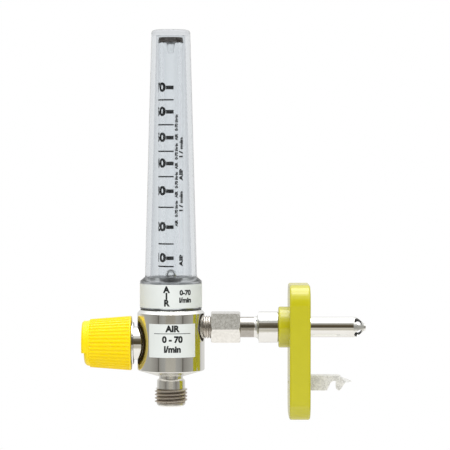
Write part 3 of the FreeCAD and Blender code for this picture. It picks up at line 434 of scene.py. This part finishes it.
# Nipple: a short threaded steel tube, screwed half into the body and half into the
# coupling. A few turns of its thread show in the gap between them. Its steel is set darker
# than the chrome, partly its own tone and partly painted shade for that gap.
lowest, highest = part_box("inlet_nipple")
length = highest[0] - lowest[0]
gas_hole, tip, root, bevel = 0.0029, 0.0041, 0.0044, 0.0004
bar = turned([
    (gas_hole, 0), (tip, 0), (root, bevel), (root, length - bevel),
    (tip, length), (gas_hole, length)])
cut_thread(bar, root=root, crest=0.0050, pitch=0.00105, start=-0.0006,
           foot=0.0003, top=length - 0.0003)
bmesh.ops.rotate(bar, cent=(0, 0, 0), matrix=Matrix.Rotation(math.pi / 2, 3, "Y"),
                 verts=bar.verts)
bmesh.ops.translate(bar, vec=(lowest[0], 0, 0), verts=bar.verts)
# Painted shade: the steel's tone is set darker for the shade of the gap it sits in.
nipple_steel_painted_shade, paint = new_finish("nipple_steel_painted_shade")
place = paint.node("ShaderNodeTexCoord", {}, {}, "Object")
grain = paint.node("ShaderNodeTexNoise", {}, {"Vector": place, "Scale": 600, "Detail": 4})
ends_in(paint, {
    "Base Color": grain.ramp((0.3, (0.64, 0.61, 0.57)), (0.7, (0.76, 0.73, 0.69))),
    "Metallic": 1.0,
    "Roughness": 0.16 + 0.1 * grain,
})
nipple = new_mesh("nipple_threaded", bar, nipple_steel_painted_shade)
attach(nipple, "meter")
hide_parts("inlet_nipple")

# Latch hook: cut from steel plate, its nose ground to a wedge, barrelled to a pale mottled
# grey and held in the wall plate by a screw from the front.
hook_steel, paint = new_finish("hook_steel")
place = paint.node("ShaderNodeTexCoord", {}, {}, "Object")
grain = paint.node("ShaderNodeTexNoise", {}, {"Vector": place, "Scale": 1700, "Detail": 4})
blotch = paint.node("ShaderNodeTexNoise", {}, {"Vector": place, "Scale": 500, "Detail": 2})
ends_in(paint, {
    "Base Color": (0.75 * grain + 0.25 * blotch).ramp(
        (0.38, (0.70, 0.70, 0.68)), (0.62, (0.98, 0.98, 0.96))),
    "Metallic": 0.35,
    "Roughness": 0.3 + 0.1 * grain,
    "Normal": paint.node("ShaderNodeBump", {}, {
        "Height": grain, "Strength": 0.3, "Distance": 0.0002}),
})
dress(hook_steel, "latch_hook")

# Screws: bought ones of plain steel, dull from their thread rolling. One holds the hook in
# the wall plate, and the other holds the knob on the stem's square.
plain_steel = plated("plain_steel", (0.80, 0.79, 0.77), 0.32, 0.45, wear=0.6)
dress(plain_steel, "hook_screw", "knob_screw")

# Ball: a bearing ball of hard polished steel, loose in the flow tube. It rests on the
# seat until gas lifts it.
dress(plated("ball_steel", (0.72, 0.72, 0.71), 0.03, 0.06), "float_ball")

# Valve seat, stem and filter: plain turned brass, and bronze beads for the filter. They
# are inside the body and only show where it is opened.
brass = plated("turned_brass", (0.78, 0.60, 0.28), 0.2, 0.3)
dress(brass, "valve_seat", "valve_stem", "inlet_filter")


# Control knob and its cap: ribbed yellow plastic with a half-gloss skin, moulded to fit
# the stem's square. Its back face, which the body mirrors, is painted a duller, browner
# yellow as painted shade.
knob_yellow, paint = new_finish("knob_yellow")
place = paint.node("ShaderNodeTexCoord", {}, {}, "Object")
cloudy = paint.node("ShaderNodeTexNoise", {}, {"Vector": place, "Scale": 120, "Detail": 3})
skin = paint.node("ShaderNodeTexNoise", {}, {"Vector": place, "Scale": 2500, "Detail": 2})
# Painted shade: the back face, which the body mirrors, is painted a duller, browner yellow.
rim_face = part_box("knob")[1][0]
painted_back_shade = paint.node("ShaderNodeSeparateXYZ", {}, {"Vector": place}, "X").rises(
    rim_face - 0.00004, rim_face - 0.00002)
ends_in(paint, {
    "Base Color": painted_back_shade.mixes(cloudy.ramp((0.3, (0.96, 0.72, 0.0)), (0.7, (1.0, 0.75, 0.0))),
                                (0.80, 0.64, 0.17, 1)),
    "Roughness": 0.2 + 0.08 * cloudy + 0.2 * painted_back_shade,
    "Specular IOR Level": 0.3,
    "Normal": paint.node("ShaderNodeBump", {}, {
        "Height": skin, "Strength": 0.06, "Distance": 0.0001}),
})
dress(knob_yellow, "knob", "knob_cap")


# Wall plate: a thick olive yellow plastic moulding with rounded edges and a round boss,
# clamped between the shoulder piece and the probe.
def moulded(name, tone, low, high, shine=0.5):
    """Moulded plastic: an even colour, a fine skin and slightly uneven gloss."""
    material, paint = new_finish(name)
    place = paint.node("ShaderNodeTexCoord", {}, {}, "Object")
    cloudy = paint.node("ShaderNodeTexNoise", {}, {"Vector": place, "Scale": 120, "Detail": 3})
    skin = paint.node("ShaderNodeTexNoise", {}, {"Vector": place, "Scale": 2500, "Detail": 2})
    ends_in(paint, {
        "Base Color": cloudy.ramp((0.3, [c * 0.96 for c in tone]), (0.7, tone)),
        "Roughness": low + (high - low) * cloudy,
        "Specular IOR Level": shine,
        "Normal": paint.node("ShaderNodeBump", {}, {
            "Height": skin, "Strength": 0.06, "Distance": 0.0001}),
    })
    return material


dress(moulded("plate_olive", (0.55, 0.515, 0.003), 0.13, 0.19, shine=1.0), "adapter_plate")

# Seals: black rubber rings, the grey rubber gasket under the collar, the brown rubber ring
# on top of the flow tube, two pale fibre washers and a silicone ring round the tube's foot.
dress(moulded("black_rubber", (0.03, 0.03, 0.03), 0.5, 0.7), "stem_o_ring", "probe_o_ring")
dress(moulded("grey_rubber", (0.08, 0.085, 0.075), 0.5, 0.7), "collar_gasket")
dress(moulded("brown_rubber", (0.075, 0.06, 0.05), 0.4, 0.6), "top_ring")
dress(moulded("seal_fibre", (0.8, 0.78, 0.72), 0.6, 0.8), "bonnet_seal", "outlet_seal")
dress(moulded("pale_silicone", (0.8, 0.81, 0.82), 0.4, 0.5), "flow_tube_o_ring")

# Printed films: the sticker on the body and the band round the collar, cut from white
# plastic film and stuck on. The black letters are a thin layer of ink on them.
dress(moulded("label_white", (0.76, 0.80, 0.78), 0.4, 0.5), "body_label", "collar_label")


def stripe(shape, left, right, foot, top):
    """One printed bar on the flat: along the tube's girth and up its height."""
    bmesh.ops.create_grid(shape, x_segments=1, y_segments=1, size=0.5, matrix=(
        Matrix.Translation(((left + right) / 2, 0, (foot + top) / 2))
        @ Matrix.Diagonal((right - left, 1, top - foot, 1))
        @ Matrix.Rotation(math.pi / 2, 4, "X")))


def letters(shape, body, size, bold, along, level, turn=0, wide=1):
    """Printed letters on the flat, centred on a point, and turned to run upwards."""
    words = bpy.data.curves.new("words", "FONT")
    words.body = body
    words.size = size
    words.offset = bold
    words.align_x = words.align_y = "CENTER"
    line = bpy.data.objects.new("words", words)
    flat = bpy.data.meshes.new_from_object(line)
    flat.transform(Matrix.Translation((along, 0, level)) @ Matrix.Rotation(math.pi / 2, 4, "X")
                   @ Matrix.Rotation(turn, 4, "Z") @ Matrix.Diagonal((wide, 1, 1, 1)))
    shape.from_mesh(flat)
    bpy.data.objects.remove(line)
    bpy.data.curves.remove(words)
    bpy.data.meshes.remove(flat)


def bend_round(shape, radius, ink):
    """Cuts a flat print into narrow strips, bends them round the front and gives them ink."""
    width = 0.0004
    reach = max(abs(point.co.x) for point in shape.verts)
    strips = math.ceil(reach / width)
    for strip in range(-strips, strips + 1):
        bmesh.ops.bisect_plane(shape, geom=shape.verts[:] + shape.edges[:] + shape.faces[:],
                               dist=1e-7, plane_co=(strip * width, 0, 0), plane_no=(1, 0, 0))
    for point in shape.verts:
        turn = point.co.x / radius
        point.co = (meter_axis + radius * math.sin(turn), -radius * math.cos(turn), point.co.z)
    bmesh.ops.solidify(shape, geom=shape.faces[:], thickness=ink)
    bmesh.ops.recalc_face_normals(shape, faces=shape.faces)


ink_thickness = 0.00003
ink, paint = new_finish("black_ink")
place = paint.node("ShaderNodeTexCoord", {}, {}, "Object")
grain = paint.node("ShaderNodeTexNoise", {}, {"Vector": place, "Scale": 1500, "Detail": 3})
ends_in(paint, {
    "Base Color": grain.ramp((0.3, (0.012, 0.014, 0.015)), (0.7, (0.03, 0.033, 0.034))),
    "Roughness": 0.45 + 0.2 * grain,
    "Specular IOR Level": 0.2,
})
band_radius = 0.01352
shape = bmesh.new()
for letter, level in (("A", 0.01690), ("I", 0.01410), ("R", 0.01115)):
    letters(shape, letter, size=0.0037, bold=0.0002, along=-0.0016, level=level)
for words, level in (("0-70", 0.0156), ("l/min", 0.0124)):
    letters(shape, words, size=0.0029, bold=0.00016, along=0.0068, level=level)
bend_round(shape, band_radius, ink_thickness)
print_on_collar = new_mesh("collar_print", shape, ink)
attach(print_on_collar, "meter")

sticker_radius = 0.01477
shape = bmesh.new()
for words, level in (("AIR", 0.0002), ("0 - 70", -0.0044), ("l/min", -0.0086)):
    letters(shape, words, size=0.0037, bold=0.0002, along=0.0010, level=level)
stripe(shape, left=-0.0072, right=0.0092, foot=-0.00190, top=-0.00165)
bend_round(shape, sticker_radius, ink_thickness)
print_on_body = new_mesh("body_print", shape, ink)
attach(print_on_body, "meter")

# Scale: printed in black round the outside of the flow tube, with a thick mark and a
# number at each ten litres a minute, a thin mark between, and the gas and unit beside.
def upright(level):
    """Height of a mark on the tube's front that shows at this height on its axis."""
    nearer = 0.9938
    return eye.z + (level - eye.z) * nearer


tube_radius = 0.00546
mark_end = 0.0013
thick_from, thick_half = -0.0019, 0.0008
thin_from, thin_half = -0.0080, 0.0003
shape = bmesh.new()
tens = (0.0299, 0.0434, 0.0590, 0.0710, 0.0822, 0.0934, 0.1039)
for count, level in enumerate(tens, start=1):
    centre = upright(level)
    stripe(shape, thick_from, mark_end, centre - thick_half, centre + thick_half)
    letters(shape, str(10 * count), size=0.0050, bold=0.00028, along=-0.0054, level=centre,
            wide=1.3)
for level in (0.0263, 0.0361, 0.0520, 0.0653, 0.0763, 0.0878, 0.0986):
    centre = upright(level)
    stripe(shape, thin_from, mark_end, centre - thin_half, centre + thin_half)
upwards = math.pi / 2
large_column, small_column = 0.0054, 0.0026
for words, level in (("AIR", 0.0290), ("l / min     AIR     l / min", 0.0663)):
    letters(shape, words, size=0.0034, bold=0.0002, along=large_column, level=upright(level),
            turn=upwards)
letters(shape, "   ".join(("AIR", "0-70 l/min") * 4), size=0.0017, bold=0.00012,
        along=small_column, level=upright(0.0680), turn=upwards)
bend_round(shape, tube_radius, ink_thickness)
scale_print = new_mesh("scale_print", shape, ink)
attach(scale_print, "meter")


# Clear tubes, stop and seat: moulded in clear plastic. The outer tube stands on the body
# over the flow tube and is closed at the top, where light goes through more of it.
def clear(name, tone, edge, thick=None, solid_from=1.0, rough=0.0, foot=None):
    """Clear plastic that looks greyer where its wall is seen edge on or where it is solid.

    Below the height foot it is rippled by the moulding and blurs what is behind it."""
    material, paint = new_finish(name)
    level = paint.node("ShaderNodeSeparateXYZ", {}, {
        "Vector": paint.node("ShaderNodeTexCoord", {}, {}, "Object")}, "Z")
    facing = paint.node("ShaderNodeLayerWeight", {}, {"Blend": 0.5}, "Facing")
    wall = facing.ramp((0.22, tone), (0.36, edge))
    solid = facing.ramp((0.3, thick or tone), (0.8, [c * 0.75 for c in thick or tone]))
    ends_in(paint, {
        "Base Color": level.rises(solid_from, solid_from + 0.0008).mixes(wall, solid),
        "Roughness": 0.3 * level.rises(foot, foot - 0.0015) if foot else rough,
        "IOR": 1.3, "Transmission Weight": 1.0})
    return material


outer_clear = clear("outer_clear", (0.835, 0.857, 0.873), (0.68, 0.70, 0.72),
                    thick=(0.71, 0.73, 0.75), solid_from=0.1257, foot=0.0235)
dress(outer_clear, "outer_tube")
inner_clear = clear("inner_clear", (0.97, 0.975, 0.98), (0.96, 0.967, 0.975))
dress(inner_clear, "flow_tube")
stop_clear = clear("stop_clear", (0.985, 0.99, 0.993), (0.95, 0.955, 0.96), rough=0.3)
dress(stop_clear, "float_stop", "ball_seat")
